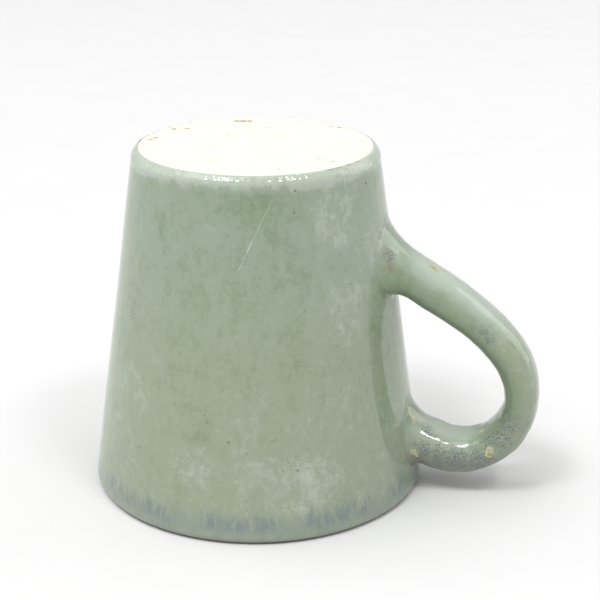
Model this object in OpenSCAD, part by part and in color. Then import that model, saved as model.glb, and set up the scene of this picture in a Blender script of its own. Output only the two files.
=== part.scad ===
// A slab-built ceramic mug, as it stands upside down on its lip with its bare foot up.
// The plane that the lip stands on is z = 0, the mug's axis is Z, and the handle reaches along +X.

/* [Body] */
// Height from the lip to the foot
mug_h = 96; // [88:0.2:104]
// Diameter of the glazed outside, carried straight down to the lip plane
lip_d = 94.4; // [88:0.2:100]
// Diameter of the glazed outside, carried straight up to the foot plane
foot_d = 66.6; // [62:0.2:72]
// Thickness of the clay wall
clay_t = 4.2; // [3.4:0.1:5]
// Thickness of the clay slab that closes the foot end
slab_t = 6.5; // [5:0.5:8]
// Radius of the rounded lip
lip_round_r = 2; // [1.5:0.1:2.2]
// Radius of the rounded edge of the foot
foot_round_r = 3.2; // [2:0.1:3.6]
// Radius of the clay coil pressed into the inside corner
coil_r = 5; // [3:0.5:8]

/* [Slip and glaze] */
// Thickness of the slip that joins the slab to the wall, and the handle to the wall
slip_t = 0.25; // [0.2:0.05:0.3]
// Thickness of each fired glaze coat
glaze_t = 0.7; // [0.6:0.05:0.8]
// Height of the band round the lip where the coats run together
lip_band_h = 10; // [6:1:14]

/* [Handle] */
// Distance from the mug's axis to the outermost point of the handle's centreline
handle_reach = 74.5; // [72:0.5:78]
// Height of that outermost point
handle_reach_z = 28.5; // [26:0.5:31]
// Height of the lowest point of the centreline
handle_low_z = 10.8; // [10.4:0.2:12]
// Distance from the axis to that lowest point
handle_low_x = 57; // [55:0.5:59]
// Height at which the centreline springs from the wall near the foot
foot_root_z = 67; // [64:1:69]
// Height at which the centreline comes back to the wall near the lip
rim_root_z = 19.4; // [18.6:0.2:20.4]
// Squareness of the handle's section: 2 is an oval, more is squarer
section_power = 2.5; // [2:0.1:3]

/* [Handle roots] */
// How far the clay is smeared up the wall towards the foot
foot_smear_up = 6; // [4:0.5:7]
// How far it is smeared to each side at the foot end
foot_smear_side = 5.5; // [4:0.5:6]
// How far it reaches down the wall, inside the finger gap
foot_smear_down = 2; // [1:0.5:3]
// How far the clay of the lip end reaches up the wall, inside the finger gap
rim_smear_up = 6; // [4:0.5:7]

/* [Hidden] */
$fn = 96;

bare_clay = [0.98, 0.97, 0.92];
wet_slip = [0.93, 0.91, 0.85];
celadon = [0.62, 0.70, 0.62];
celadon_liner = [0.68, 0.75, 0.68];
celadon_band = [0.55, 0.63, 0.60];

// The wall leans in from the lip to the foot. Layers are measured square to it.
lean = atan((lip_d - foot_d) / 2 / mug_h);
function glaze_x(z) = lip_d / 2 - (lip_d - foot_d) / 2 * z / mug_h;
function layer_x(z, depth) = glaze_x(z) - depth / cos(lean);
clay_in = glaze_t;
cavity_clay = glaze_t + clay_t;
cavity_glaze = cavity_clay + glaze_t;
slab_z = mug_h - slab_t;
wall_top_z = slab_z - slip_t;

// Points of an arc, from one direction to another
function arc(centre, r, from, to, steps = 10) = [
    for (i = [0:steps]) centre + r * [cos(from + (to - from) * i / steps), sin(from + (to - from) * i / steps)]
];

// Centres of the lip's two roundings, the foot's rounding and the inside corner's rounding
lip_out = [
    glaze_x(lip_round_r * (1 + sin(lean))) - lip_round_r * cos(lean),
    lip_round_r
];
lip_in = [
    layer_x(lip_round_r * (1 - sin(lean)), cavity_glaze) + lip_round_r * cos(lean),
    lip_round_r
];
foot_out = [
    glaze_x(mug_h - foot_round_r * (1 - sin(lean))) - foot_round_r * cos(lean),
    mug_h - foot_round_r
];
corner_in = [
    layer_x(slab_z - coil_r * (1 - sin(lean)), cavity_clay) - coil_r * cos(lean),
    slab_z - coil_r
];

module revolved(points) {
    rotate_extrude() polygon(points);
}

// Body

module base_slab() {
    color(bare_clay) revolved(concat(
        [[0, slab_z], [layer_x(slab_z, clay_in), slab_z]],
        arc(foot_out, foot_round_r - glaze_t, lean, 90),
        [[foot_out.x, mug_h], [0, mug_h]]
    ));
}

module wall() {
    color(bare_clay) revolved(concat(
        arc(lip_in, lip_round_r - glaze_t, 180 + lean, 270),
        arc(lip_out, lip_round_r - glaze_t, 270, 360 + lean),
        [[layer_x(wall_top_z, clay_in), wall_top_z], [layer_x(wall_top_z, cavity_clay), wall_top_z]]
    ));
}

module base_slip() {
    color(wet_slip) revolved([
        [layer_x(wall_top_z, cavity_clay), wall_top_z],
        [layer_x(wall_top_z, clay_in), wall_top_z],
        [layer_x(slab_z, clay_in), slab_z],
        [layer_x(slab_z, cavity_clay), slab_z]
    ]);
}

module seam_coil() {
    color(bare_clay) revolved(concat(
        arc(corner_in, coil_r, lean, 90),
        [[layer_x(slab_z, cavity_clay), slab_z]]
    ));
}

// Glaze coats

module liner_glaze() {
    color(celadon_liner) revolved(concat(
        [[layer_x(lip_band_h, cavity_glaze), lip_band_h], [layer_x(lip_band_h, cavity_clay), lip_band_h]],
        arc(corner_in, coil_r, lean, 90),
        [[0, slab_z], [0, slab_z - glaze_t]],
        arc(corner_in, coil_r - glaze_t, 90, lean)
    ));
}

module lip_glaze() {
    color(celadon_band) difference() {
        revolved(concat(
            [[layer_x(lip_band_h, cavity_glaze), lip_band_h]],
            arc(lip_in, lip_round_r, 180 + lean, 270),
            arc(lip_out, lip_round_r, 270, 360 + lean),
            [[glaze_x(lip_band_h), lip_band_h], [layer_x(lip_band_h, clay_in), lip_band_h]],
            arc(lip_out, lip_round_r - glaze_t, 360 + lean, 270),
            arc(lip_in, lip_round_r - glaze_t, 270, 180 + lean),
            [[layer_x(lip_band_h, cavity_clay), lip_band_h]]
        ));
        edge_prism(rim_glaze_edge, layer_x(0, cavity_clay));
    }
}

module outer_glaze() {
    color(celadon) difference() {
        revolved(concat(
            [[layer_x(lip_band_h, clay_in), lip_band_h], [glaze_x(lip_band_h), lip_band_h]],
            arc(foot_out, foot_round_r, lean, 90),
            arc(foot_out, foot_round_r - glaze_t, 90, lean)
        ));
        edge_prism(foot_glaze_edge);
        edge_prism(rim_glaze_edge);
    }
}

// Handle path: three cubic curves, from the root near the foot, round the loop, to the root near the lip

path = [
    [[34.5, foot_root_z], [51, foot_root_z - 10.5], [handle_reach, 47], [handle_reach, handle_reach_z]],
    [[handle_reach, handle_reach_z], [handle_reach, 19.5], [67, handle_low_z], [handle_low_x, handle_low_z]],
    [[handle_low_x, handle_low_z], [51.3, handle_low_z], [45.6, 13.9], [41.3, rim_root_z]]
];
function cubic(c, t) =
    pow(1 - t, 3) * c[0] + 3 * pow(1 - t, 2) * t * c[1] + 3 * (1 - t) * t * t * c[2] + pow(t, 3) * c[3];
function cubic_slope(c, t) =
    pow(1 - t, 2) * (c[1] - c[0]) + 2 * (1 - t) * t * (c[2] - c[1]) + t * t * (c[3] - c[2]);
function curve_of(s) = min(floor(s), 2);
function path_at(s) = cubic(path[curve_of(s)], s - curve_of(s));
function unit(v) = v / norm(v);
function heading(s) = unit(cubic_slope(path[curve_of(s)], s - curve_of(s)));

// Half thickness and half width of the glazed handle, by place along the path
half_thick = [[0.3, 5.6], [0.55, 5.15], [0.8, 5.1], [1.05, 4.75], [1.5, 5.3], [2, 5.9], [2.4, 6.1]];
half_wide = [[0.3, 8.2], [0.6, 7.8], [1, 7.6], [1.5, 7.6], [2, 7.9], [2.4, 8.3]];
sides = 24;
free_from = 0.3;
free_to = 2.33;
free_rings = 24;
function soft(v) = sign(v) * pow(abs(v), 2 / section_power);
function on_plane(p) = [p.x, 0, p.y];
function section(s, depth) = let(d = heading(s), out = [-d.y, d.x]) [
    for (k = [0:sides - 1]) let(a = 360 * k / sides)
        on_plane(path_at(s) + (lookup(s, half_thick) - depth) * soft(cos(a)) * out)
        + [0, (lookup(s, half_wide) - depth) * soft(sin(a)), 0]
];

// Roots: each line along the handle runs straight on to the wall, and its corner there is rounded off.
// A root holds the reach of that rounding along the handle, then on the wall: outside, inside, at the sides.
straight_rings = 2;
round_rings = 6;
foot_root = [[12, 3.5, 8], [foot_smear_up, foot_smear_down, foot_smear_side]];
rim_root = [[3, 9, 3], [1.2, rim_smear_up, 1.6]];
function reach(sizes, a) = let(up = (1 + cos(a)) / 2, side = pow(abs(sin(a)), 1.5))
    (sizes[1] + (sizes[0] - sizes[1]) * up) * (1 - side) + sizes[2] * side;

// Distance from p along d to the cone that lies this deep under the glazed outside
function to_wall(p, d, depth) = let(
    r = layer_x(p.z, depth),
    tan_lean = tan(lean),
    a = d.x * d.x + d.y * d.y - pow(tan_lean * d.z, 2),
    b = p.x * d.x + p.y * d.y + tan_lean * d.z * r,
    c = p.x * p.x + p.y * p.y - r * r
) (-b - sqrt(b * b - a * c)) / a;
function on_wall(p, depth) = let(r = layer_x(p.z, depth) / norm([p.x, p.y])) [p.x * r, p.y * r, p.z];
function wall_normal(p) = let(out = unit([p.x, p.y, 0])) [out.x * cos(lean), out.y * cos(lean), sin(lean)];
function middle(points) = [for (i = [0:2]) (points[0][i] + points[sides / 2][i]) / 2];
function root_lines(ring, d, root, depth) = let(
    hits = [for (p = ring) p + to_wall(p, d, depth) * d],
    centre = middle(hits)
) [
    for (k = [0:sides - 1]) let(
        a = 360 * k / sides,
        n = wall_normal(hits[k]),
        spoke = hits[k] - centre,
        away = unit(spoke - (spoke * n) * n),
        along = min(reach(root[0], a), 0.95 * norm(hits[k] - ring[k]))
    ) [hits[k] - along * d, hits[k], on_wall(hits[k] + reach(root[1], a) * away, depth)]
];
// Rings from the free handle to the wall, then the outline where it ends on the wall
function root_rings(ring, d, root, depth) = let(lines = root_lines(ring, d, root, depth)) [
    for (i = [1:straight_rings])
        [for (k = [0:sides - 1]) ring[k] + (lines[k][0] - ring[k]) * i / straight_rings],
    for (i = [1:round_rings]) [
        for (line = lines) cubic([
            line[0], line[0] + 0.6 * (line[1] - line[0]), line[2] + 0.6 * (line[1] - line[2]), line[2]
        ], i / round_rings)
    ]
];
function last(list) = list[len(list) - 1];
function reversed(list) = [for (i = [len(list) - 1:-1:0]) list[i]];
function foot_rings(depth, wall_depth) =
    root_rings(section(free_from, depth), -on_plane(heading(free_from)), foot_root, wall_depth);
function rim_rings(depth, wall_depth) =
    root_rings(section(free_to, depth), on_plane(heading(free_to)), rim_root, wall_depth);
function rings(depth, wall_depth) = concat(
    reversed(foot_rings(depth, wall_depth)),
    [for (i = [0:free_rings]) section(free_from + (free_to - free_from) * i / free_rings, depth)],
    rim_rings(depth, wall_depth)
);

// The outlines on the wall: of the clay, which sits on its slip, and of the glaze over it
seat = glaze_t - slip_t;
foot_clay_edge = last(foot_rings(glaze_t, seat));
rim_clay_edge = last(rim_rings(glaze_t, seat));
foot_glaze_edge = last(foot_rings(0, 0));
rim_glaze_edge = last(rim_rings(0, 0));
function moved_to(edge, depth) = [for (p = edge) on_wall(p, depth)];
function shrunk(edge, share, depth) = let(c = middle(edge)) [for (p = edge) on_wall(c + share * (p - c), depth)];

// Faces between neighbouring rings, and a fan from a pole to the ring next to it
function band(a, b) = [
    for (k = [0:sides - 1]) let(n = (k + 1) % sides) each [[a + k, b + k, b + n], [a + k, b + n, a + n]]
];
function fan(pole, ring, outward) = [
    for (k = [0:sides - 1]) let(n = (k + 1) % sides)
        outward ? [pole, ring + k, ring + n] : [pole, ring + n, ring + k]
];
function flat_list(nested) = [for (part = nested) each part];

module handle() {
    foot_cap = [for (share = [0.35, 0.7]) shrunk(foot_clay_edge, share, seat)];
    rim_cap = [for (share = [0.7, 0.35]) shrunk(rim_clay_edge, share, seat)];
    all_rings = concat(foot_cap, rings(glaze_t, seat), rim_cap);
    count = len(all_rings);
    poles = [on_wall(middle(foot_clay_edge), seat), on_wall(middle(rim_clay_edge), seat)];
    color(bare_clay) polyhedron(
        concat(flat_list(all_rings), poles),
        concat(
            fan(count * sides, 0, true),
            [for (i = [0:count - 2]) each band(i * sides, (i + 1) * sides)],
            fan(count * sides + 1, (count - 1) * sides, false)
        )
    );
}

module handle_glaze() {
    inner = concat(
        [moved_to(foot_clay_edge, glaze_t)], rings(glaze_t, seat), [moved_to(rim_clay_edge, glaze_t)]
    );
    outer = concat(
        [moved_to(foot_glaze_edge, glaze_t)], rings(0, 0), [moved_to(rim_glaze_edge, glaze_t)]
    );
    count = len(outer);
    first_in = count * sides;
    color(celadon) polyhedron(
        concat(flat_list(outer), flat_list(inner)),
        concat(
            [for (i = [0:count - 2]) each band(i * sides, (i + 1) * sides)],
            [for (i = [0:count - 2]) each band(first_in + (i + 1) * sides, first_in + i * sides)],
            band(first_in, 0),
            band((count - 1) * sides, first_in + (count - 1) * sides)
        )
    );
}

// Slip under the handle's roots, and the window that each root needs in the glaze coat

// A bar with this outline, seen along X, running out through the wall towards +X
module edge_prism(edge, from_x = 0) {
    translate([from_x, 0, 0]) rotate([90, 0, 90]) linear_extrude(lip_d) polygon([for (p = edge) [p.y, p.z]]);
}

module root_slip(edge) {
    color(wet_slip) intersection() {
        revolved([
            [layer_x(0, glaze_t), 0],
            [layer_x(0, seat), 0],
            [layer_x(mug_h, seat), mug_h],
            [layer_x(mug_h, glaze_t), mug_h]
        ]);
        edge_prism(edge);
    }
}

module foot_end_slip() {
    root_slip(foot_clay_edge);
}

module rim_end_slip() {
    root_slip(rim_clay_edge);
}

base_slab();
wall();
base_slip();
seam_coil();
liner_glaze();
outer_glaze();
lip_glaze();
handle();
foot_end_slip();
rim_end_slip();
handle_glaze();
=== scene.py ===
# %% [markdown]
# # A hand-built celadon mug, standing on its lip
# The mug is thick cream stoneware under a grey-green celadon glaze. It stands upside down, so its bare
# foot faces up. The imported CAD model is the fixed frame: it gives the sizes, and every piece made here
# lies where it says. The clay inside stays as CAD nodes, and what the eye sees is made again with the
# small unevenness of hand work.

import math

import bmesh
import bpy
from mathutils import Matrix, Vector, noise


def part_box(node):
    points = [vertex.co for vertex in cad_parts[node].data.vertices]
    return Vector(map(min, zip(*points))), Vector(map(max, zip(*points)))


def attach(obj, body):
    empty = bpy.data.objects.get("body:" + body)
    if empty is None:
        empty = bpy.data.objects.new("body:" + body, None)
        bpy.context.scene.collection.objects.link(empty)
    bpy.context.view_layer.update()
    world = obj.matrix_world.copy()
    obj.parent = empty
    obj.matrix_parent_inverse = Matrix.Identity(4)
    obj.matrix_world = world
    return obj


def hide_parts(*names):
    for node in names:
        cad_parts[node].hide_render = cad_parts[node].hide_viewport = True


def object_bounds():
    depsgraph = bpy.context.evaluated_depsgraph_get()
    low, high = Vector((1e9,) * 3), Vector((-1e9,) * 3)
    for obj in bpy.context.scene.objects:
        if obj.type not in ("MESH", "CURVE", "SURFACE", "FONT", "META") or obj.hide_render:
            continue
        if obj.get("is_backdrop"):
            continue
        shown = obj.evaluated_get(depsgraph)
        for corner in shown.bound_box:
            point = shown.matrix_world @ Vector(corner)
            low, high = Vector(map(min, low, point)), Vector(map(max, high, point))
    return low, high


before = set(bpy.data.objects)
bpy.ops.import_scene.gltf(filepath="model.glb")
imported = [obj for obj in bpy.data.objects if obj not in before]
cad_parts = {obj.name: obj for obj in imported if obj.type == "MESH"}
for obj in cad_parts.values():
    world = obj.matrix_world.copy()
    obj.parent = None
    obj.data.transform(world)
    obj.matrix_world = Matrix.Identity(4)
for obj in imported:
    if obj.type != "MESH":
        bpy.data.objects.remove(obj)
cad_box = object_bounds()
MM = 0.001
print("nodes in the frame:", ", ".join(sorted(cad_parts)))

# %% [markdown]
# ## The driving sizes
# The mug's height, its foot and its lip come from the frame. The body is a plain cone, so two radii and
# the height give the glazed radius at any height. Every later piece asks glaze_radius for its place.

# %% Sizes of the body
foot_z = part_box("base_slab")[1].z
lip_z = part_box("lip_glaze")[0].z
clay_slab_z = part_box("base_slab")[0].z
glaze_thickness = 0.7 * MM
clay_thickness = 4.2 * MM
radius_at_lip = 47.2 * MM
radius_at_foot = 33.3 * MM
taper = (radius_at_lip - radius_at_foot) / (foot_z - lip_z)
lean = math.atan(taper)


def glaze_radius(z):
    return radius_at_lip - taper * (z - lip_z)


def layer_radius(z, depth):
    return glaze_radius(z) - depth / math.cos(lean)


print(f"mug {1000 * (foot_z - lip_z):.1f} mm tall, walls lean in by {math.degrees(lean):.2f} degrees")

# %% [markdown]
# ## Marks of the hand
# A wall beaten and smoothed by hand is never a true cone. Two layers of soft noise, one as wide as a palm
# and one as wide as a thumb, push the surface in by 0.4 mm at most. They only push in, so
# the mug stays inside the sizes of its frame, and the glaze stays outside the clay and slip under it.

# %% Unevenness of the surface
PALM = 34 * MM
THUMB = 12 * MM


def hand_marks(point):
    wide = noise.noise(point / PALM)
    fine = noise.noise(point / THUMB + Vector((7.3, 2.1, 4.4)))
    return -0.20 * MM + 0.15 * MM * wide + 0.05 * MM * fine


def body_point(turn, z):
    """A point of the glazed outside, at this angle round the axis and this height."""
    across = Vector((math.cos(turn), math.sin(turn), 0))
    place = across * glaze_radius(z) + Vector((0, 0, z))
    return place + across * hand_marks(place)


four_marks = [round(1000 * hand_marks(body_point(a, 0.05)), 2) for a in (0, 1.5, 3, 4.5)]
print("marks at four places, mm:", four_marks)

# %% [markdown]
# ## Making a piece ready
# Every piece gets the same treatment at the end: its bmesh becomes an object at the origin, shaded smooth,
# which rides on the mug's one body and stands for the CAD nodes it replaces.

# %% Finish a piece
def finish_piece(name, bm, material, slot, *replaced):
    mesh = bpy.data.meshes.new(name)
    bm.to_mesh(mesh)
    bm.free()
    mesh.polygons.foreach_set("use_smooth", [True] * len(mesh.polygons))
    mesh.materials.append(material)
    piece = bpy.data.objects.new(name, mesh)
    bpy.context.scene.collection.objects.link(piece)
    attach(piece, "root")
    if replaced:
        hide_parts(*replaced)
    print(f"{name}: {len(mesh.vertices)} points, {len(mesh.polygons)} faces")
    return piece


def arc(centre, radius, start, end, steps):
    """Points of an arc in the plane of radius and height, angles in degrees."""
    turns = [math.radians(start + (end - start) * i / steps) for i in range(steps + 1)]
    return [(centre[0] + radius * math.cos(t), centre[1] + radius * math.sin(t)) for t in turns]


def straight(a, b, steps):
    """Points between two points, without the two ends."""
    shares = [i / steps for i in range(1, steps)]
    return [(a[0] + (b[0] - a[0]) * s, a[1] + (b[1] - a[1]) * s) for s in shares]


# %% [markdown]
# ## Nodes and colours
# One function adds any node with its settings and links, and one turns an sRGB hex colour to the linear
# values that the shader wants. Pattern sizes are given in millimetres and turned to a noise scale.

# %% Node and colour helpers
def linear(code):
    parts = [int(code[i:i + 2], 16) / 255 for i in (1, 3, 5)]
    return (*[c / 12.92 if c <= 0.04045 else ((c + 0.055) / 1.055) ** 2.4 for c in parts], 1)


def per_mm(size):
    return 1000 / size


def add_node(tree, kind, inputs=None, **settings):
    node = tree.nodes.new(kind)
    for key, value in settings.items():
        setattr(node, key, value)
    for key, value in (inputs or {}).items():
        if isinstance(value, bpy.types.NodeSocket):
            tree.links.new(value, node.inputs[key])
        else:
            node.inputs[key].default_value = value
    return node


def new_material(name):
    material = bpy.data.materials.new(name)
    material.use_nodes = True
    tree = material.node_tree
    tree.nodes.clear()
    return material, tree


def close_material(tree, shader):
    add_node(tree, "ShaderNodeOutputMaterial", {"Surface": shader.outputs["BSDF"]})


# %% [markdown]
# ## Pattern steps
# A glaze pattern is built up from soft noise and from single marks. A mark is a round mask at a known
# place on the piece, or a hairline between two places. Everything reads Object coordinates, which are the
# part's own metres, so a mark stays on its place from any side.

# %% Pattern steps
def object_place(tree, stretch=(1, 1, 1)):
    """The place on the piece, with some directions drawn out so that a pattern runs along them."""
    place = add_node(tree, "ShaderNodeTexCoord").outputs["Object"]
    return add_node(tree, "ShaderNodeMapping", {"Vector": place, "Scale": stretch}).outputs["Vector"]


def cloud(tree, place, size_mm, detail=3.0, rough=0.55, warp=0.0):
    settings = {
        "Vector": place, "Scale": per_mm(size_mm), "Detail": detail, "Roughness": rough, "Distortion": warp,
    }
    return add_node(tree, "ShaderNodeTexNoise", settings).outputs["Fac"]


def ramp(tree, value, low, high, to_low=0.0, to_high=1.0):
    """Stretches a value from the range low..high to another range, eased at both ends."""
    inputs = {"Value": value, "From Min": low, "From Max": high, "To Min": to_low, "To Max": to_high}
    return add_node(tree, "ShaderNodeMapRange", inputs, interpolation_type="SMOOTHSTEP").outputs["Result"]


def combine(tree, action, first, *others):
    """Joins two or more values, or values and numbers, by one action."""
    for other in others:
        first = add_node(tree, "ShaderNodeMath", {0: first, 1: other}, operation=action).outputs["Value"]
    return first


def blend_colour(tree, share, a, b):
    mix = add_node(tree, "ShaderNodeMix", {"Factor": share}, data_type="RGBA")
    sockets = [socket for socket in mix.inputs if socket.type == "RGBA"]
    for socket, value in zip(sockets, (a, b)):
        if isinstance(value, str):
            socket.default_value = linear(value)
        else:
            tree.links.new(value, socket)
    return next(socket for socket in mix.outputs if socket.type == "RGBA")


def ragged(tree, place, size_mm, amount_mm):
    """The place pushed about by noise, which gives a mark a ragged outline."""
    noisy = {"Vector": place, "Scale": per_mm(size_mm), "Detail": 2.0}
    wander = add_node(tree, "ShaderNodeTexNoise", noisy)
    settings = {0: wander.outputs["Color"], 1: (amount_mm * MM,) * 3, 2: (-amount_mm * MM / 2,) * 3}
    shift = add_node(tree, "ShaderNodeVectorMath", settings, operation="MULTIPLY_ADD").outputs["Vector"]
    return add_node(tree, "ShaderNodeVectorMath", {0: place, 1: shift}, operation="ADD").outputs["Vector"]


def spot(tree, place, x, y, z, radius, soft=0.6):
    """1 at this place in millimetres, fading to 0 at the radius."""
    settings = {0: place, 1: (x * MM, y * MM, z * MM)}
    away = add_node(tree, "ShaderNodeVectorMath", settings, operation="DISTANCE").outputs["Value"]
    return ramp(tree, away, radius * MM, radius * (1 - soft) * MM)


def spots(tree, place, marks, soft=0.6):
    return combine(tree, "MAXIMUM", *[spot(tree, place, *mark, soft) for mark in marks])


def dots(tree, place, spacing, density):
    """Round specks this far apart in millimetres, each kept where the density beats its own chance."""
    cells = add_node(tree, "ShaderNodeTexVoronoi", {"Vector": place, "Scale": per_mm(spacing)})
    chance = add_node(tree, "ShaderNodeSeparateColor", {"Color": cells.outputs["Color"]}).outputs["Red"]
    kept = ramp(tree, combine(tree, "SUBTRACT", density, chance), 0.0, 0.15)
    return combine(tree, "MULTIPLY", ramp(tree, cells.outputs["Distance"], 0.5, 0.22), kept)


def hairline(tree, place, start, end, width):
    """1 along a thin line on the wall between two places, given in millimetres."""
    start, end = Vector(start), Vector(end)
    middle = (start + end) / 2
    across = (end - start).cross(Vector((middle.x, middle.y, 0))).normalized()
    dot = add_node(tree, "ShaderNodeVectorMath", {0: place, 1: across}, operation="DOT_PRODUCT")
    offset = combine(tree, "SUBTRACT", dot.outputs["Value"], middle.dot(across) * MM)
    line = ramp(tree, combine(tree, "ABSOLUTE", offset, 0), width * MM / 2, width * MM / 8)
    return combine(tree, "MULTIPLY", line, spot(tree, place, *middle, (end - start).length / 2, 0.25))


# %% [markdown]
# ## Celadon glaze
# The real finish is a reduction-fired celadon: a glass coloured by a little iron, poured over cream clay.
# It looks greener where it lies thick and greyer where it lies thin. It ran down the wall in the kiln,
# which leaves faint streaks along the height, and a second dip left the part next to the lip paler and
# more speckled. The colour is one share between a deep and a pale green, made from six noises from a
# thumb's width down to a grain of ash, cooler near the foot and more olive towards the lip. Glass has an
# IOR of about 1.5 and almost no roughness, so it mirrors the studio sharply, and a faint peel of bump
# breaks the mirror a little.

# %% Celadon colour and glass
DEEP_GREEN = "#7a8a70"
OLIVE = "#80876a"
MID_GREEN = "#8b9781"
COOL_GREEN = "#8a9885"
PALE_GREY = "#a3ad9f"
GLASS_IOR = 1.55


def celadon_share(tree, flat):
    """How thin the glaze lies, as noise of several widths. The middle is near 0.5."""
    drawn = object_place(tree, (1, 1, 0.7))
    streaky = object_place(tree, (1, 1, 0.2))
    level = object_place(tree, (0.35, 0.35, 1))
    parts = (
        (cloud(tree, drawn, 17, 2.0, 0.5, 0.4), 0.30),
        (cloud(tree, drawn, 6.0, 3.0, 0.6, 0.8), 0.50),
        (cloud(tree, flat, 2.6, 4.0, 0.7, 0.6), 0.60),
        (cloud(tree, streaky, 1.5, 2.0, 0.6), 0.22),
        (cloud(tree, level, 1.2, 2.0, 0.6), 0.14),
        (cloud(tree, flat, 0.8, 2.0, 0.7), 0.28),
    )
    total = combine(tree, "ADD", *[combine(tree, "MULTIPLY", part, weight) for part, weight in parts])
    return ramp(tree, total, 0.46, 1.40), streaky


def celadon_colour(tree, share, flat):
    z = add_node(tree, "ShaderNodeSeparateXYZ", {"Vector": flat}).outputs["Z"]
    warm = ramp(tree, z, 78 * MM, 40 * MM, 0.15, 1.0)
    olive = ramp(tree, cloud(tree, flat, 2.4, 4.0, 0.7), 0.46, 0.66)
    deep = blend_colour(tree, combine(tree, "MULTIPLY", olive, warm, 0.9), DEEP_GREEN, OLIVE)
    middle = blend_colour(tree, warm, COOL_GREEN, MID_GREEN)
    dark_side = blend_colour(tree, ramp(tree, share, 0.0, 0.5), deep, middle)
    return blend_colour(tree, ramp(tree, share, 0.5, 1.0), dark_side, PALE_GREY)


def glass_skin(tree, colour, flat):
    """Clear glass over the colour: sharp reflections, with a faint orange peel."""
    peel = cloud(tree, flat, 2.6, 1.0, 0.4)
    bump = add_node(tree, "ShaderNodeBump", {"Height": peel, "Strength": 0.25, "Distance": 0.05 * MM})
    return add_node(tree, "ShaderNodeBsdfPrincipled", {
        "Base Color": colour, "Roughness": 0.06, "IOR": GLASS_IOR, "Normal": bump.outputs["Normal"],
    })


print("celadon runs from", DEEP_GREEN, "over", MID_GREEN, "to", PALE_GREY)

# %% [markdown]
# ## Marks in the body's glaze
# Near the lip the coats overlap, with blue-grey ash smudges a few millimetres above the edge. A few iron
# specks burned dark. One long scratch and one brown hairline run down the wall from the foot. Each mark is
# listed once, in millimetres, and the far side has its own smudges and specks, so no side is blank.

# %% Marks of the body
BAND_GREY = "#808c82"
ASH_BLUE = "#66727b"
INK_BLUE = "#4b5a64"
IRON_DARK = "#4a5340"
IRON_BROWN = "#7d6a4e"
SCRATCH_PALE = "#b9c6ba"
CREAM_EDGE = "#a8a693"
# Colour of the painted shade under the lip.
LIP_SHADE = "#555b4c"
# Thin and thick places of the glaze. The thin places on the right front also paint the stronger light from
# the right, and the thick place on the left front paints shade there.
THIN_AND_LIT_PLACES = (
    (25.0, -24.0, 86.0, 17.0), (22.0, -39.0, 16.0, 13.0), (36.0, -13.0, 75.0, 15.0),
    (30.0, -26.0, 62.0, 12.0),
    (-8.0, -43.0, 20.0, 9.0), (20.0, 32.0, 60.0, 16.0), (-30.0, 28.0, 30.0, 15.0), (-37.0, 10.0, 55.0, 12.0),
)
THICK_AND_SHADED_PLACES = (
    (8.0, -34.0, 88.0, 12.0), (15.0, -37.0, 48.0, 15.0), (-6.0, -42.0, 30.0, 12.0),
    (-33.0, -20.0, 55.0, 16.0),
    (-4.0, 36.0, 78.0, 14.0), (30.0, 30.0, 35.0, 15.0), (-28.0, 22.0, 66.0, 13.0),
)
SMUDGE_TURNS = (
    -128, -116, -109.5, -92, -84, -76, -57, -49, -40, -22, 14, 38, 66, 97, 124, 151, 176, 203, 222,
)
WAX_BURNS = (
    (25.9, -18.5, 95.8, 1.9), (24.0, -20.8, 95.8, 1.5), (27.8, -15.3, 95.8, 1.5), (29.5, -11.8, 95.8, 1.0),
    (-17.0, -27.9, 95.8, 1.0), (-26.0, 18.5, 95.8, 2.0), (6.0, 31.2, 95.8, 2.4), (-31.6, -2.0, 95.8, 1.4),
)
IRON_SPECKS = (
    (17.0, -29.3, 92.1, 0.55), (16.9, -30.2, 86.7, 0.5), (31.9, -11.9, 90.2, 0.55), (2.1, -43.1, 27.8, 0.6),
    (-3.6, -42.3, 32.6, 0.4), (-4.2, -42.0, 34.6, 0.45), (19.8, -39.7, 19.9, 0.5), (-24.0, 28.6, 70.0, 0.5),
    (6.0, 39.2, 50.0, 0.45), (-41.0, 8.0, 38.0, 0.5), (17.0, 36.5, 45.0, 0.4), (-36.3, -10.5, 66.0, 0.45),
)


def tide_line(tree, share, flat, z):
    """Paler below about 42 mm and on the shoulder, where the lift is painted sheen together with thin glaze
    at the wax line. Paler at the thin places and deeper at the thick ones: glaze thickness, and on the front
    also painted light from the right and painted shade on the left.
    """
    tide = combine(tree, "ADD", z, combine(tree, "MULTIPLY", cloud(tree, flat, 9, 3.0, 0.6), 8 * MM))
    below = ramp(tree, tide, 48 * MM, 44 * MM)
    # Painted sheen with thin glaze: paler on the shoulder just under the wax line.
    uneven = combine(tree, "ADD", z, combine(tree, "MULTIPLY", cloud(tree, flat, 5, 2.0), 2 * MM))
    high = ramp(tree, uneven, 92 * MM, 95 * MM)
    # Painted light and shade with glaze thickness: the listed thin places lift the colour, the thick ones
    # deepen it.
    thin = spots(tree, ragged(tree, flat, 8, 5.0), THIN_AND_LIT_PLACES, 0.95)
    thick = spots(tree, ragged(tree, flat, 8, 5.0), THICK_AND_SHADED_PLACES, 0.95)
    lifts = ((below, 0.08), (high, 0.62), (thin, 0.27), (thick, -0.14))
    changes = [combine(tree, "MULTIPLY", mask, lift) for mask, lift in lifts]
    return combine(tree, "ADD", share, *changes, -0.23)


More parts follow.
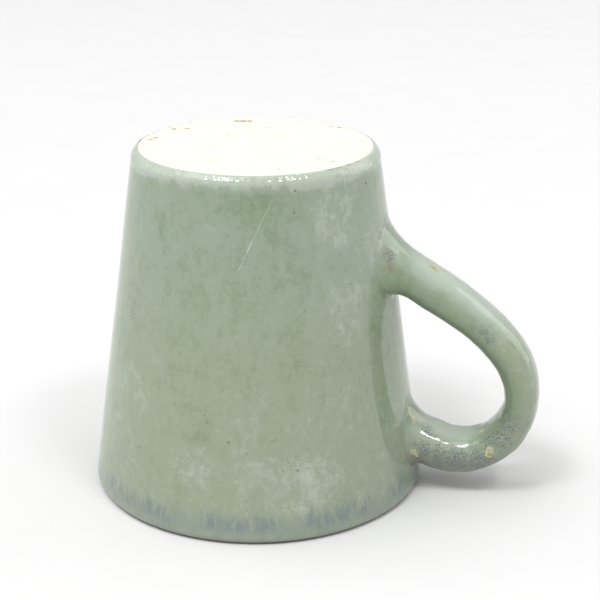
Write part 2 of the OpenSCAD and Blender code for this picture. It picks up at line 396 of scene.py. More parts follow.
def lip_band(tree, colour, flat, streaky, z):
    runs = cloud(tree, streaky, 3.0, 3.0, 0.6)
    edge = combine(tree, "ADD", z, combine(tree, "MULTIPLY", runs, 6 * MM))
    inside = ramp(tree, edge, 11.5 * MM, 6 * MM)
    colour = blend_colour(tree, combine(tree, "MULTIPLY", inside, 0.75), colour, BAND_GREY)
    turns = [math.radians(turn) for turn in SMUDGE_TURNS]
    places = [(46 * math.cos(a), 46 * math.sin(a), 6.2, 7.0) for a in turns]
    near = spots(tree, ragged(tree, flat, 3, 3.0), places, 0.9)
    above, under = ramp(tree, edge, 5.5 * MM, 7.5 * MM), ramp(tree, edge, 13 * MM, 9.5 * MM)
    height = combine(tree, "MULTIPLY", above, under)
    brushed = ramp(tree, cloud(tree, streaky, 1.3, 3.0, 0.65), 0.36, 0.66)
    smudge = combine(tree, "MULTIPLY", near, height, brushed, 0.75)
    colour = blend_colour(tree, smudge, colour, ASH_BLUE)
    low = ramp(tree, edge, 20 * MM, 8 * MM)
    patches = ramp(tree, cloud(tree, flat, 4, 2.0), 0.42, 0.68)
    speck = dots(tree, flat, 0.55, combine(tree, "MULTIPLY", low, patches, 0.6))
    colour = blend_colour(tree, combine(tree, "MULTIPLY", speck, 0.32), colour, INK_BLUE)
    above, under = ramp(tree, z, 0.8 * MM, 1.4 * MM), ramp(tree, edge, 6.0 * MM, 4.0 * MM)
    bare_edge = combine(tree, "MULTIPLY", above, under)
    colour = blend_colour(tree, combine(tree, "MULTIPLY", bare_edge, 0.30), colour, CREAM_EDGE)
    # Painted shade: a dark line along the lowest millimetre of the lip, where it rounds under towards the
    # floor.
    lip_shade = combine(tree, "MULTIPLY", ramp(tree, z, 1.1 * MM, 0.5 * MM), 0.8)
    return blend_colour(tree, lip_shade, colour, LIP_SHADE)


def body_marks(tree, colour, flat):
    wobbly = ragged(tree, flat, 4, 0.35)
    scratch = hairline(tree, wobbly, (12.0, -31.9, 91.0), (3.4, -36.4, 71.8), 0.34)
    ends = spots(tree, flat, ((6.7, -35.2, 78.5, 2.4), (3.8, -36.4, 72.8, 2.0)))
    bright = combine(tree, "MAXIMUM", ends, 0.32)
    colour = blend_colour(tree, combine(tree, "MULTIPLY", scratch, bright), colour, SCRATCH_PALE)
    brown = hairline(tree, wobbly, (-25.0, -23.6, 89.5), (-26.4, -25.0, 75.5), 0.35)
    colour = blend_colour(tree, combine(tree, "MULTIPLY", brown, 0.55), colour, IRON_BROWN)
    pinhole = dots(tree, flat, 1.0, ramp(tree, cloud(tree, flat, 6, 2.0), 0.45, 0.75, 0.02, 0.30))
    colour = blend_colour(tree, combine(tree, "MULTIPLY", pinhole, 0.28), colour, IRON_DARK)
    z = add_node(tree, "ShaderNodeSeparateXYZ", {"Vector": flat}).outputs["Z"]
    at_wax = ramp(tree, z, 95.5 * MM, 95.75 * MM)
    burnt = combine(tree, "MULTIPLY", spots(tree, wobbly, WAX_BURNS, 0.6), at_wax, 0.6)
    colour = blend_colour(tree, burnt, colour, IRON_BROWN)
    specks = spots(tree, ragged(tree, flat, 0.8, 0.5), IRON_SPECKS, 0.6)
    return blend_colour(tree, combine(tree, "MULTIPLY", specks, 0.85), colour, IRON_DARK)


celadon, tree = new_material("celadon_glaze_on_stoneware")
flat = object_place(tree)
z = add_node(tree, "ShaderNodeSeparateXYZ", {"Vector": flat}).outputs["Z"]
share, streaky = celadon_share(tree, flat)
colour = celadon_colour(tree, tide_line(tree, share, flat, z), flat)
colour = body_marks(tree, lip_band(tree, colour, flat, streaky, z), flat)
close_material(tree, glass_skin(tree, colour, flat))
print("the body's glaze has", len(tree.nodes), "nodes")

# %% [markdown]
# ## Marks in the handle's glaze
# On the handle, the inside of the upper branch faces down and is painted a deeper green: painted shade, with
# glaze gathered thick in the loop. The upward-facing tops are painted a paler grey: painted top light and
# sheen, with glaze run thin. The underside of the lower arm next to the floor is painted a warm grey shade.
# Where the glaze missed, cream and ochre pips of clay show: a large one under the turn, a long one in the
# crease by the lip, and a small pit on top. Cobalt-dark ash specks gather on the lower arm, and rust at the
# upper root. The painted shade on the inside and the painted top light are marked on the mesh itself, as
# two attributes.

# %% Marks of the handle
PIP_CREAM = "#c0bf9e"
PIP_TAN = "#a59f74"
# Paler grey for the painted top light and sheen on the upward-facing tops, with thin glaze.
THIN_AND_TOP_LIT_GREY = "#a3aea2"
PIP_OCHRE = "#a08a4a"
RUST = "#8c6a46"
# Warm grey for the painted shade under the lower arm.
UNDERSIDE_SHADE_GREY = "#7c7c72"
ASH_DARK = "#4a5656"
ASH_HAZE = "#747f7c"
# Deeper green for the painted shade on the downward-facing inside of the loop.
POOLED_AND_SHADE_GREEN = "#6c8060"
CREAM_PIPS = (
    (67.0, -7.5, 15.0, 1.3), (66.7, -7.7, 13.8, 1.4), (64.0, -3.0, 18.3, 0.9), (46.1, -8.2, 12.6, 1.2),
    (46.9, -8.3, 11.4, 0.8), (43.9, -4.0, 24.0, 0.7), (44.1, -4.1, 23.4, 0.8), (44.4, -4.2, 22.8, 0.8),
    (44.7, -4.4, 22.2, 0.8), (45.0, -4.6, 21.6, 0.8), (45.3, -4.9, 21.0, 0.7), (45.7, -5.3, 20.4, 0.6),
    (70.5, 7.4, 16.5, 1.2), (53.0, 7.9, 60.0, 0.9),
)
OCHRE_PITS = (
    (49.1, -1.2, 64.8, 1.2), (49.9, -1.6, 64.2, 0.9), (44.2, -4.3, 23.3, 0.5), (66.9, -7.7, 13.6, 0.6),
)
RUSTY_PLACES = ((37.5, -8.1, 70.5, 3.0), (38.5, -8.9, 66.6, 2.5), (49.9, -2.0, 64.1, 1.0))
INKY_PLACES = (
    (69.5, -7.5, 18.2, 5.0), (71.5, -7.3, 22.9, 4.5), (66.8, -6.9, 17.7, 4.0), (70.3, -5.1, 26.3, 4.0),
    (48.5, -8.0, 13.0, 4.5), (53.3, -8.0, 11.8, 5.5), (58.5, -8.0, 11.5, 5.5), (64.0, -7.9, 12.0, 5.5),
    (50.0, -5.5, 19.0, 3.5), (63.5, -7.8, 49.8, 2.6), (65.4, -7.6, 47.6, 2.2),
    (35.6, -7.9, 75.0, 2.2), (38.4, -8.1, 69.2, 2.6), (60.0, 7.9, 13.0, 8.0), (72.0, 7.3, 22.0, 6.0),
)


def handle_marks(tree, colour, flat):
    # Painted shade, with glaze gathered thick: deeper green on the downward-facing inside of the loop.
    pooled_and_shade = add_node(tree, "ShaderNodeAttribute", attribute_name="pooled_and_shade").outputs["Fac"]
    colour = blend_colour(tree, combine(tree, "MULTIPLY", pooled_and_shade, 0.65), colour, POOLED_AND_SHADE_GREEN)
    # Painted top light and sheen, with glaze run thin: paler grey on the upward-facing tops.
    thin_and_top_lit = add_node(tree, "ShaderNodeAttribute", attribute_name="thin_and_top_lit").outputs["Fac"]
    colour = blend_colour(tree, combine(tree, "MULTIPLY", thin_and_top_lit, 0.75), colour, THIN_AND_TOP_LIT_GREY)
    loose = ragged(tree, flat, 3, 2.0)
    below = add_node(tree, "ShaderNodeSeparateXYZ", {"Vector": loose}).outputs["Z"]
    # Painted shade: the underside of the lower arm, next to the floor, turns warm grey.
    underside_shade = combine(tree, "MULTIPLY", ramp(tree, below, 14.5 * MM, 10 * MM), 0.75)
    colour = blend_colour(tree, underside_shade, colour, UNDERSIDE_SHADE_GREY)
    rust = spots(tree, loose, RUSTY_PLACES, 0.9)
    patchy = ramp(tree, cloud(tree, flat, 1.3, 2.0, 0.6), 0.42, 0.62)
    colour = blend_colour(tree, combine(tree, "MULTIPLY", rust, patchy, 0.5), colour, RUST)
    inky = combine(tree, "MULTIPLY", spots(tree, loose, INKY_PLACES, 0.9), 0.95)
    haze = combine(tree, "MULTIPLY", inky, ramp(tree, cloud(tree, flat, 1.5, 3.0, 0.7), 0.35, 0.62), 0.65)
    colour = blend_colour(tree, haze, colour, ASH_HAZE)
    for spacing, strength in ((0.55, 0.7), (0.36, 0.75)):
        ash = combine(tree, "MULTIPLY", dots(tree, flat, spacing, inky), strength)
        colour = blend_colour(tree, ash, colour, ASH_DARK)
    chipped = ragged(tree, flat, 1.2, 0.8)
    ring = spots(tree, chipped, CREAM_PIPS, 0.35)
    tone = blend_colour(tree, ramp(tree, cloud(tree, flat, 0.9, 2.0), 0.4, 0.65), PIP_CREAM, PIP_TAN)
    colour = blend_colour(tree, combine(tree, "MULTIPLY", ring, 0.85), colour, tone)
    pits = combine(tree, "MULTIPLY", spots(tree, chipped, OCHRE_PITS, 0.5), 0.9)
    return blend_colour(tree, pits, colour, PIP_OCHRE)


handle_celadon, tree = new_material("celadon_glaze_on_pulled_handle")
flat = object_place(tree)
z = add_node(tree, "ShaderNodeSeparateXYZ", {"Vector": flat}).outputs["Z"]
share, streaky = celadon_share(tree, flat)
colour = celadon_colour(tree, tide_line(tree, share, flat, z), flat)
close_material(tree, glass_skin(tree, handle_marks(tree, colour, flat), flat))
print("the handle's glaze has", len(tree.nodes), "nodes")

# %% [markdown]
# ## Bare stoneware
# The foot was wiped clean before the firing, so it is bare cream clay: matt, slightly open, with fine grit
# and a warm ochre blush where iron came to the surface. Unglazed clay is rough and has little mirror.

# %% Bare stoneware
CREAM_CLAY = "#d5d4c6"
WARM_CLAY = "#d0c9ae"
OCHRE = "#a07c50"
FOOT_SPOTS = (
    (-9.9, 8.9, 0.7), (-8.0, -4.3, 0.6), (11.6, -23.9, 0.7), (19.8, -12.3, 0.6), (23.4, -13.6, 0.7),
    (26.1, 5.0, 0.7), (27.6, 9.2, 0.7), (-0.6, 19.2, 0.6), (6.1, 26.7, 0.7),
)
FOOT_CHIPS = (
    (-11.5, 25.0, 1.5), (-9.8, 25.4, 1.5), (-8.1, 25.7, 1.5), (-29.1, -0.8, 1.2), (-28.5, 1.6, 1.2),
    (-23.0, 13.3, 1.2), (-26.4, 11.9, 1.2), (18.5, 23.1, 1.0), (16.1, 23.9, 1.0),
)


def stoneware(name, base, warm, roughness=0.85, stains=(), chips=()):
    material, tree = new_material(name)
    flat = object_place(tree)
    blush = ramp(tree, cloud(tree, flat, 8, 3.0, 0.6), 0.5, 0.75)
    grit = cloud(tree, flat, 0.6, 2.0, 0.6)
    colour = blend_colour(tree, combine(tree, "MULTIPLY", blush, 0.4), base, warm)
    torn = ragged(tree, flat, 1.5, 1.4)
    for marks, strength in ((stains, 0.7), (chips, 0.9)):
        if marks:
            places = [(x, y, foot_z / MM - 0.1, radius) for x, y, radius in marks]
            mask = spots(tree, torn, places, 0.7)
            colour = blend_colour(tree, combine(tree, "MULTIPLY", mask, strength), colour, OCHRE)
    bump = add_node(tree, "ShaderNodeBump", {"Height": grit, "Strength": 0.3, "Distance": 0.08 * MM})
    shader = add_node(tree, "ShaderNodeBsdfPrincipled", {
        "Base Color": colour, "Roughness": roughness, "IOR": 1.45, "Normal": bump.outputs["Normal"],
    })
    close_material(tree, shader)
    return material


bare_clay = stoneware("bare_cream_stoneware", CREAM_CLAY, WARM_CLAY, 0.85, FOOT_SPOTS, FOOT_CHIPS)
hidden_clay = stoneware("stoneware_under_glaze", "#ece5d3", "#dccfb2")
dried_slip = stoneware("slip_joint_clay", "#e3dcc9", "#cfc3a6", 0.9)
print("three clays made")

# %% [markdown]
# ## The glaze coat
# The glaze is one skin: it starts at the wax line on the foot's shoulder, runs down the wall, wraps the
# lip and lines the inside. One outline turned round the axis gives it, closed on its hidden side so that
# it is a solid skin. A thin ridge of glass stands along the wax line, where
# surface tension pulled the edge of the coat into a bead.

# %% Outline of the coat
SHOULDER = 3.2 * MM
LIP_ROUND = 2.0 * MM
CORNER = 5.0 * MM
WAX_LINE = 72
TURN_STEPS = 480

shoulder_z = foot_z - SHOULDER
shoulder = (glaze_radius(shoulder_z + SHOULDER * math.sin(lean)) - SHOULDER * math.cos(lean), shoulder_z)
lip_out_z = lip_z + LIP_ROUND
lip_out = (glaze_radius(lip_out_z + LIP_ROUND * math.sin(lean)) - LIP_ROUND * math.cos(lean), lip_out_z)
cavity = 2 * glaze_thickness + clay_thickness
lip_in = (
    layer_radius(lip_out_z - LIP_ROUND * math.sin(lean), cavity) + LIP_ROUND * math.cos(lean), lip_out_z
)
corner_z = clay_slab_z - CORNER
corner = (
    layer_radius(corner_z + CORNER * math.sin(lean), cavity - glaze_thickness) - CORNER * math.cos(lean),
    corner_z,
)
lean_deg = math.degrees(lean)
skin = 0.42 * MM

over_shoulder = arc(shoulder, SHOULDER, WAX_LINE, lean_deg, 16)
round_lip = arc(lip_out, LIP_ROUND, lean_deg, -90, 9)
down_wall = straight(over_shoulder[-1], round_lip[0], 84)
under_lip = arc(lip_in, LIP_ROUND, -90, -180 + lean_deg, 8)
into_corner = arc(corner, CORNER - glaze_thickness, lean_deg, 90, 8)
up_inside = straight(under_lip[-1], into_corner[0], 24)
across_base = straight(into_corner[-1], (0, into_corner[-1][1]), 14)
shown = over_shoulder + down_wall + round_lip + under_lip + up_inside + into_corner + across_base
shown.append((0, into_corner[-1][1]))

back_corner = arc(corner, CORNER - glaze_thickness + skin, 90, lean_deg, 5)
back_lip = arc(lip_in, LIP_ROUND - skin, -180 + lean_deg, -90, 4)
back_lip += arc(lip_out, LIP_ROUND - skin, -90, lean_deg, 4)
back_shoulder = arc(shoulder, SHOULDER - skin, lean_deg, WAX_LINE, 6)
hidden = [(0, into_corner[-1][1] + skin)] + back_corner + straight(back_corner[-1], back_lip[0], 8)
hidden += back_lip + straight(back_lip[-1], back_shoulder[0], 8) + back_shoulder
print(f"outline has {len(shown)} shown points and {len(hidden)} hidden ones")

# %% [markdown]
# ## Turning the coat
# The outline is spun round the axis and merged where it closes. Then the shown side gets its hand marks,
# and along the wax line a rippled bead and short flutes, which break up the mirrored lamps.

# %% Turn the outline and press in the hand marks
BEAD = 0.12 * MM
FLUTE = 0.15 * MM
FLUTE_WIDE = 0.75
BEAD_FROM_EDGE = 0.7 * MM
RIPPLE = 1.4 * MM
LIP_SAFE = 1.5 * MM

bm = bmesh.new()
weight = bm.verts.layers.float.new("shown")
outline = [bm.verts.new((r, 0, z)) for r, z in shown + hidden]
for i, point in enumerate(outline):
    point[weight] = 1.0 if i < len(shown) else 0.0
edges = [bm.edges.new((a, b)) for a, b in zip(outline, outline[1:] + outline[:1])]
bmesh.ops.spin(
    bm, geom=outline + edges, axis=(0, 0, 1), cent=(0, 0, 0), angle=2 * math.pi,
    steps=TURN_STEPS, use_merge=True,
)
bmesh.ops.remove_doubles(bm, verts=bm.verts, dist=0.001 * MM)
bmesh.ops.recalc_face_normals(bm, faces=bm.faces)
bm.normal_update()


def coat_push(v):
    """How far a point of the coat moves along its normal."""
    push = hand_marks(v.co) * min(1, max(0, (v.co.z - lip_z) / LIP_SAFE))
    radius = math.hypot(v.co.x, v.co.y)
    if v.co.z < shoulder_z or radius < shoulder[0]:
        return push
    from_edge = math.hypot(radius - over_shoulder[0][0], v.co.z - over_shoulder[0][1])
    ripple = 1 + 1.1 * noise.noise(v.co / RIPPLE) + 0.5 * noise.noise(v.co / (5 * RIPPLE))
    ridge = math.exp(-((from_edge - BEAD_FROM_EDGE) / (0.55 * BEAD_FROM_EDGE)) ** 2)
    turn = math.atan2(v.co.y, v.co.x)
    across = Vector((30 * math.cos(turn), 30 * math.sin(turn), v.co.z / MM / 4))
    flutes = FLUTE * noise.noise(across / FLUTE_WIDE) * math.exp(-((from_edge / MM - 1.9) / 1.4) ** 2)
    return 0.3 * push + BEAD * ripple * ridge + flutes


moves = {v: v.normal * coat_push(v) for v in bm.verts if v[weight] > 0.5}
for v, move in moves.items():
    v.co += move
finish_piece("glaze_coat", bm, celadon, "celadon_glaze", "outer_glaze", "lip_glaze", "liner_glaze")

# %% [markdown]
# ## The bare foot
# The slab that closes the mug: a flat disc of bare clay with a rounded edge that runs under the glaze.
# A disc of fine rings lets small pits, a chipped edge and the drag marks of a wooden tool be real dents.

# %% Foot
FOOT_RINGS = 90
FOOT_TURNS = 300
foot_flat = shoulder[0]

bm = bmesh.new()
top = [(0, foot_z)] + straight((0, foot_z), (foot_flat, foot_z), FOOT_RINGS) + [(foot_flat, foot_z)]
edge = arc(shoulder, SHOULDER, 88, WAX_LINE - 6, 6)
edge += arc(shoulder, SHOULDER - 0.7 * MM, WAX_LINE - 14, lean_deg, 5)
side = [(layer_radius(clay_slab_z, 0.7 * MM), clay_slab_z), (0, clay_slab_z)]
outline = [bm.verts.new((r, 0, z)) for r, z in top + edge + side]
edges = [bm.edges.new(pair) for pair in zip(outline, outline[1:])]
bmesh.ops.spin(
    bm, geom=outline + edges, axis=(0, 0, 1), cent=(0, 0, 0), angle=2 * math.pi,
    steps=FOOT_TURNS, use_merge=True,
)
bmesh.ops.remove_doubles(bm, verts=bm.verts, dist=0.001 * MM)
bmesh.ops.recalc_face_normals(bm, faces=bm.faces)


def foot_dent(place):
    """How deep the foot is at a place: broad waves, drag lines of the wire, pits, and the listed chips."""
    wide = 0.5 + 0.5 * noise.noise(place / (18 * MM))
    drag = 0.5 + 0.5 * noise.noise(Vector((place.x / (7 * MM), place.y / (0.9 * MM), 3.1)))
    pit = max(0, noise.noise(place / (1.1 * MM) + Vector((3, 9, 1))) - 0.52)
    depth = 0.02 + 0.06 * wide + 0.03 * drag + 0.5 * pit
    for marks, deepest in ((FOOT_SPOTS, 0.15), (FOOT_CHIPS, 0.12)):
        for x, y, radius in marks:
            away = math.hypot(place.x / MM - x, place.y / MM - y) / radius
            depth += deepest * math.exp(-away * away)
    return depth * MM


for v in bm.verts:
    if v.co.z > foot_z - 0.8 * MM and math.hypot(v.co.x, v.co.y) < foot_flat + 1.8 * MM:
        v.co.z -= foot_dent(v.co)
finish_piece("bare_foot", bm, bare_clay, "bare_clay", "base_slab")

# %% [markdown]
# ## The path of the handle
# The handle was pulled from a lump of clay, bent into a loop and pressed on at both ends. Its centreline
# is three cubic curves in the plane y = 0. Its section is a soft rectangle, wider than it is thick, and
# thickest where it turns under near the lip.

# %% Path and section
path = [[Vector((x * MM, 0, z * MM)) for x, z in curve] for curve in (
    ((34.5, 67), (51, 56.5), (74.5, 47), (74.5, 28.5)),
    ((74.5, 28.5), (74.5, 19.5), (67, 10.8), (57, 10.8)),
    ((57, 10.8), (51.3, 10.8), (45.6, 13.9), (41.3, 19.4)),
)]
THICKNESS = ((0.3, 5.6), (0.55, 5.15), (0.8, 5.1), (1.05, 4.75), (1.5, 5.3), (2.0, 5.9), (2.4, 6.1))
WIDTH = ((0.3, 8.2), (0.6, 7.8), (1.0, 7.6), (1.5, 7.6), (2.0, 7.9), (2.4, 8.3))
SQUARENESS = 2.5
AROUND = 96


def along(s):
    curve, t = path[min(int(s), 2)], s - min(int(s), 2)
    a, b, c, d = curve
    place = a * (1 - t) ** 3 + b * 3 * (1 - t) ** 2 * t + c * 3 * (1 - t) * t * t + d * t ** 3
    heading = (b - a) * (1 - t) ** 2 + (c - b) * 2 * (1 - t) * t + (d - c) * t * t
    return place, heading.normalized()


def between(table, s):
    """Eased value between the entries of a small table."""
    for (s0, v0), (s1, v1) in zip(table, table[1:]):
        if s <= s1:
            share = min(1, max(0, (s - s0) / (s1 - s0)))
            return v0 + (v1 - v0) * share * share * (3 - 2 * share)
    return table[-1][1]


def soft(value):
    return math.copysign(abs(value) ** (2 / SQUARENESS), value)


def section(s):
    place, heading = along(s)
    outward = Vector((-heading.z, 0, heading.x))
    thick, wide = between(THICKNESS, s) * MM, between(WIDTH, s) * MM
    turns = [2 * math.pi * k / AROUND for k in range(AROUND)]
    return [
        place + outward * thick * soft(math.cos(t)) + Vector((0, wide * soft(math.sin(t)), 0)) for t in turns
    ]


# %% [markdown]
# ## Where the handle meets the wall
# Each end is smeared onto the wall with the thumb. Every line along the handle is carried straight on to
# the wall, and its corner there is rounded off: far up the wall on the side towards the foot, and tightly
# underneath, where a thumb can't reach. The rounding ends lying flat on the wall, so no edge shows.

# %% Roots of the handle
FREE_FROM, FREE_TO = 0.30, 2.33
FREE_RINGS, ROOT_STRAIGHT, ROOT_ROUND = 200, 10, 16


def meet_wall(start, heading):
    """How far from start, along heading, the wall lies."""
    near, far = 0.0, 30 * MM
    for _ in range(40):
        middle = (near + far) / 2
        p = start + heading * middle
        turn = math.atan2(p.y, p.x)
        inside = math.hypot(p.x, p.y) < math.hypot(*body_point(turn, p.z).xy)
        near, far = (near, middle) if inside else (middle, far)
    return near


def slide_on_wall(p, away, distance):
    """Moves a point of the wall along the wall, in the direction away."""
    q = p + away * distance
    return body_point(math.atan2(q.y, q.x), q.z)


def root_rings(ring, heading, upper, lower, sides):
    """Rings from the free handle to the wall. A size pair is the rounding's reach on handle and wall."""
    hits = [p + heading * meet_wall(p, heading) for p in ring]
    centre = sum(hits, Vector()) / len(hits)
    columns = []
    for k, (p, hit) in enumerate(zip(ring, hits)):
        turn = 2 * math.pi * k / AROUND
        up, side = (1 + math.cos(turn)) / 2, abs(math.sin(turn)) ** 1.5
        reach_handle, reach_wall = [
            (lo + (hi - lo) * up) * (1 - side) + mid * side for hi, lo, mid in zip(upper, lower, sides)
        ]
        length = (hit - p).length
        reach_handle = min(reach_handle * MM, length * 0.95)
        out = hit.copy()
        out.z = 0
        out.normalize()
        normal = Vector((out.x * math.cos(lean), out.y * math.cos(lean), math.sin(lean)))
        away = (hit - centre)
        away -= normal * away.dot(normal)
        away.normalize()
        start = hit - heading * reach_handle
        end = slide_on_wall(hit, away, reach_wall * MM)
        column = [p + (start - p) * i / ROOT_STRAIGHT for i in range(1, ROOT_STRAIGHT + 1)]
        for i in range(1, ROOT_ROUND + 1):
            t = i / ROOT_ROUND
            one, two = start + (hit - start) * 0.6, end + (hit - end) * 0.6
            from_start = start * (1 - t) ** 3 + one * 3 * (1 - t) ** 2 * t
            column.append(from_start + two * 3 * (1 - t) * t * t + end * t ** 3)
        column.append(end + away * 0.3 * MM - normal * 0.25 * MM)
        columns.append(column)
    return [[column[i] for column in columns] for i in range(len(columns[0]))]


free = [section(FREE_FROM + (FREE_TO - FREE_FROM) * i / FREE_RINGS) for i in range(FREE_RINGS + 1)]
foot_end = root_rings(free[0], -along(FREE_FROM)[1], (12, 6.0), (3.5, 2.0), (8, 5.5))
lip_end = root_rings(free[-1], along(FREE_TO)[1], (3.0, 1.2), (9, 6.0), (3.0, 1.6))
rings = foot_end[::-1] + free + lip_end
print(f"handle has {len(rings)} rings of {AROUND} points")

# %% [markdown]
# ## Skin of the handle
# A ring of edges is extruded from section to section along the handle, as a potter would draw it out. Two
# shares are kept on each point: painted shade on the downward-facing inside of the upper branch, with glaze
# gathered thick there, and painted top light and sheen on the upward-facing tops, with glaze run thin. Then
# the surface gets its uneven thickness, the cream pips stand up a little, and the ochre pits sink in.

# %% Skin of the handle
PIP_HEIGHT = 0.22
PIT_DEPTH = 0.35
THUMB_DENTS = 0.14
WRINKLES = 0.10
LOWER_UNEVEN = 0.12


def eased(value):
    value = min(1, max(0, value))
    return value * value * (3 - 2 * value)


def shaded_inside_share(k, place):
    """1 on the downward-facing underside of the upper branch, 0 on the outside and along the lower arm:
    painted shade, with glaze gathered thick.
    """
    facing = eased(0.42 - 0.9 * math.cos(2 * math.pi * k / AROUND))
    return facing * eased((place.z / MM - 16) / 14)


def top_lit_share(k, place):
    """1 on the upward-facing top of the upper branch and of the lower arm: painted top light and sheen, with
    glaze run thin.
    """
    turn = math.cos(2 * math.pi * k / AROUND)
    upper = eased(1.1 * turn - 0.1) * eased((place.z / MM - 44) / 12) * eased((place.x / MM - 41) / 6)
    lower = eased(-1.1 * turn - 0.1) * eased((24 - place.z / MM) / 6) * eased((66 - place.x / MM) / 8)
    return max(upper, lower)


def handle_push(place):
    """Millimetres in or out: soft thumb dents, finer wrinkles, and the listed pips and pits."""
    push = THUMB_DENTS * (noise.noise(place / (9 * MM)) - 0.5)
    push += WRINKLES * (noise.noise(place / (2.6 * MM)) - 0.5)
    low = eased((27 - place.z / MM) / 8)
    push += low * LOWER_UNEVEN * (noise.noise(place / (3.0 * MM) + Vector((4, 1, 8))) - 0.5)
    for marks, height in ((CREAM_PIPS, PIP_HEIGHT), (OCHRE_PITS, -PIT_DEPTH)):
        for x, y, z, radius in marks:
            away = (place / MM - Vector((x, y, z))).length / (0.75 * radius)
            push += height * math.exp(-away * away)
    return push * MM


bm = bmesh.new()
pooled_and_shade = bm.verts.layers.float.new("pooled_and_shade")
thin_and_top_lit = bm.verts.layers.float.new("thin_and_top_lit")
bmesh.ops.create_circle(bm, segments=AROUND, radius=MM)
ring = sorted(bm.verts, key=lambda v: math.atan2(v.co.y, v.co.x) % (2 * math.pi))
first_edges = edges = list(bm.edges)
for number, places in enumerate(rings):
    if number:
        made = bmesh.ops.extrude_edge_only(bm, edges=edges)["geom"]
        edges = [g for g in made if isinstance(g, bmesh.types.BMEdge)]
        fresh = {v for e in edges for v in e.verts}
        ring = [next(e.other_vert(old) for e in old.link_edges if e.other_vert(old) in fresh) for old in ring]
    for k, (v, place) in enumerate(zip(ring, places)):
        v.co = place
        v[pooled_and_shade] = shaded_inside_share(k, place)
        v[thin_and_top_lit] = top_lit_share(k, place)
for loop in (first_edges, edges):
    bmesh.ops.edgeloop_fill(bm, edges=loop)
bmesh.ops.triangulate(bm, faces=[f for f in bm.faces if len(f.verts) > 4])
bmesh.ops.recalc_face_normals(bm, faces=bm.faces)
bm.normal_update()
moves = {}
for v in bm.verts:
    off_wall = math.hypot(v.co.x, v.co.y) - glaze_radius(v.co.z)
    moves[v] = v.normal * handle_push(v.co) * min(1, max(0, off_wall / (2.5 * MM)))
for v, move in moves.items():
    v.co += move
finish_piece("handle_skin", bm, handle_celadon, "celadon_glaze", "handle_glaze")

# %% [markdown]
# ## The clay that stays hidden
# The wall, the handle's core, the corner coil and the slip are right as the CAD made them, and the glaze
# covers them, so they only get their clay.

# %% Clay on the hidden nodes
for name in ("wall", "handle", "seam_coil", "base_slip", "foot_end_slip", "rim_end_slip"):
    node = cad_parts[name]
    node.data.materials.clear()
    node.data.materials.append(dried_slip if "slip" in name else hidden_clay)
print("clay given to the hidden nodes")

# %% [markdown]
# ## Studio floor
# A white sweep turned into a shallow bowl gives a floor with no horizon: matt paper, pale grey in itself,
# which the light lifts to just under white.

# %% Floor
floor_material, tree = new_material("matt_white_paper")
flat = object_place(tree)
fibre = cloud(tree, flat, 30, 2.0, 0.5)
shade = blend_colour(tree, ramp(tree, fibre, 0.3, 0.7), "#cdcdcd", "#cecece")
close_material(tree, add_node(tree, "ShaderNodeBsdfPrincipled", {
    "Base Color": shade, "Roughness": 0.9, "Specular IOR Level": 0.1,
}))
bm = bmesh.new()
sweep = [(0, lip_z), (0.5, lip_z), (3.0, lip_z)] + arc((3.0, 1.2), 1.2, -90, 0, 12)[1:]
outline = [bm.verts.new((r, 0, z)) for r, z in sweep]
edges = [bm.edges.new(pair) for pair in zip(outline, outline[1:])]
bmesh.ops.spin(
    bm, geom=outline + edges, axis=(0, 0, 1), cent=(0, 0, 0), angle=2 * math.pi, steps=96, use_merge=True
)
bmesh.ops.remove_doubles(bm, verts=bm.verts, dist=0.0001)
mesh = bpy.data.meshes.new("floor")
bm.to_mesh(mesh)
bm.free()
mesh.polygons.foreach_set("use_smooth", [True] * len(mesh.polygons))
mesh.materials.append(floor_material)
floor = bpy.data.objects.new("floor", mesh)
bpy.context.scene.collection.objects.link(floor)
floor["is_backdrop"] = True
print("floor lies at z =", round(lip_z / MM, 2), "mm")

# %% [markdown]
# ## Light
# White surroundings fill the shadows. A broad soft light from high on the left gives the shadow its side,
# and two small softboxes above the front corners give the broken white marks on the bead of glaze. Two
# tall pale panels at the sides are mirrored along the wall's edges, outside the handle's reflection.

# %% Light
STUDIO_LEVEL = 0.81
AIM = Vector((0, 0, 0.05))
VIEW_TURN = 13.5

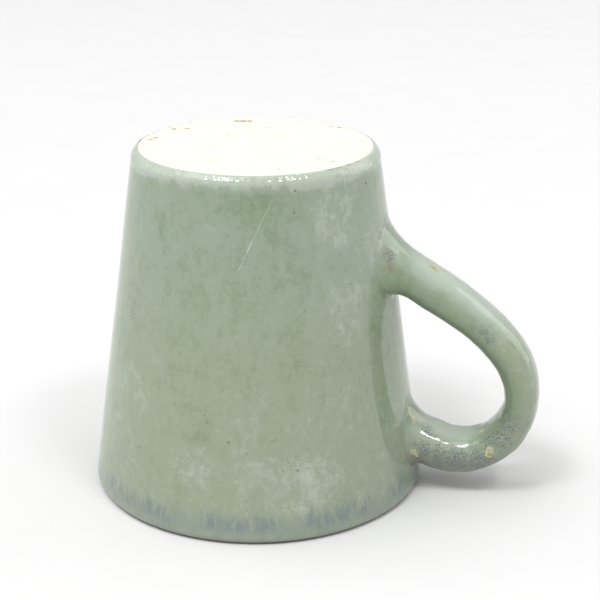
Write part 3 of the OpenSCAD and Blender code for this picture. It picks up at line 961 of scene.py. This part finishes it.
world = bpy.data.worlds.new("white_studio")
world.use_nodes = True
world.node_tree.nodes["Background"].inputs["Color"].default_value = (1, 1, 1, 1)
world.node_tree.nodes["Background"].inputs["Strength"].default_value = STUDIO_LEVEL
bpy.context.scene.world = world


def aimed(light, azimuth, elevation, distance):
    """Places a light this way from the mug. Azimuth runs from the camera's side towards the handle."""
    a, e = math.radians(VIEW_TURN + azimuth), math.radians(elevation)
    back = Vector((math.sin(a) * math.cos(e), -math.cos(a) * math.cos(e), math.sin(e)))
    box = bpy.data.objects.new(light.name, light)
    box.location = AIM + back * distance
    box.rotation_euler = back.to_track_quat("Z", "Y").to_euler()
    bpy.context.scene.collection.objects.link(box)
    print(f"{light.name}: {light.energy:.2f} at azimuth {azimuth}, elevation {elevation}")


def softbox(name, wide, tall, power):
    light = bpy.data.lights.new(name, "AREA")
    light.shape, light.size, light.size_y, light.energy = "RECTANGLE", wide, tall, power
    return light


overhead = bpy.data.lights.new("overhead_left", "SUN")
overhead.energy, overhead.angle = 1.15, math.radians(50)
aimed(overhead, -90, 70, 2.0)
aimed(softbox("left_softbox", 0.62, 0.50, 20), -45, 60, 2.4)
aimed(softbox("right_softbox", 0.50, 0.38, 12), 45, 60, 2.4)
aimed(softbox("left_panel", 1.6, 1.6, 5.0), -115, 18, 2.4)
aimed(softbox("right_panel", 1.6, 1.6, 10.0), 110, 18, 2.4)

# %% [markdown]
# ## Camera
# A long lens from the front and a little above, turned so that the handle shows on the right.

# %% Camera
camera = bpy.data.objects.new("camera", bpy.data.cameras.new("camera"))
camera.location = (0.0868, -0.3617, 0.1903)
camera.rotation_euler = (math.radians(90 - 20.52), 0, math.radians(11.67))
camera.data.lens = 85.15
camera.data.clip_start = 0.01
bpy.context.scene.collection.objects.link(camera)
bpy.context.scene.camera = camera
bpy.context.scene.view_settings.view_transform = "Standard"

shown_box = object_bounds()
for name, (low, high) in (("cad", cad_box), ("visual", shown_box)):
    print(name, "box, mm:", [round(1000 * v, 2) for v in (*low, *high)])

# %% Finish
print("mug finished")
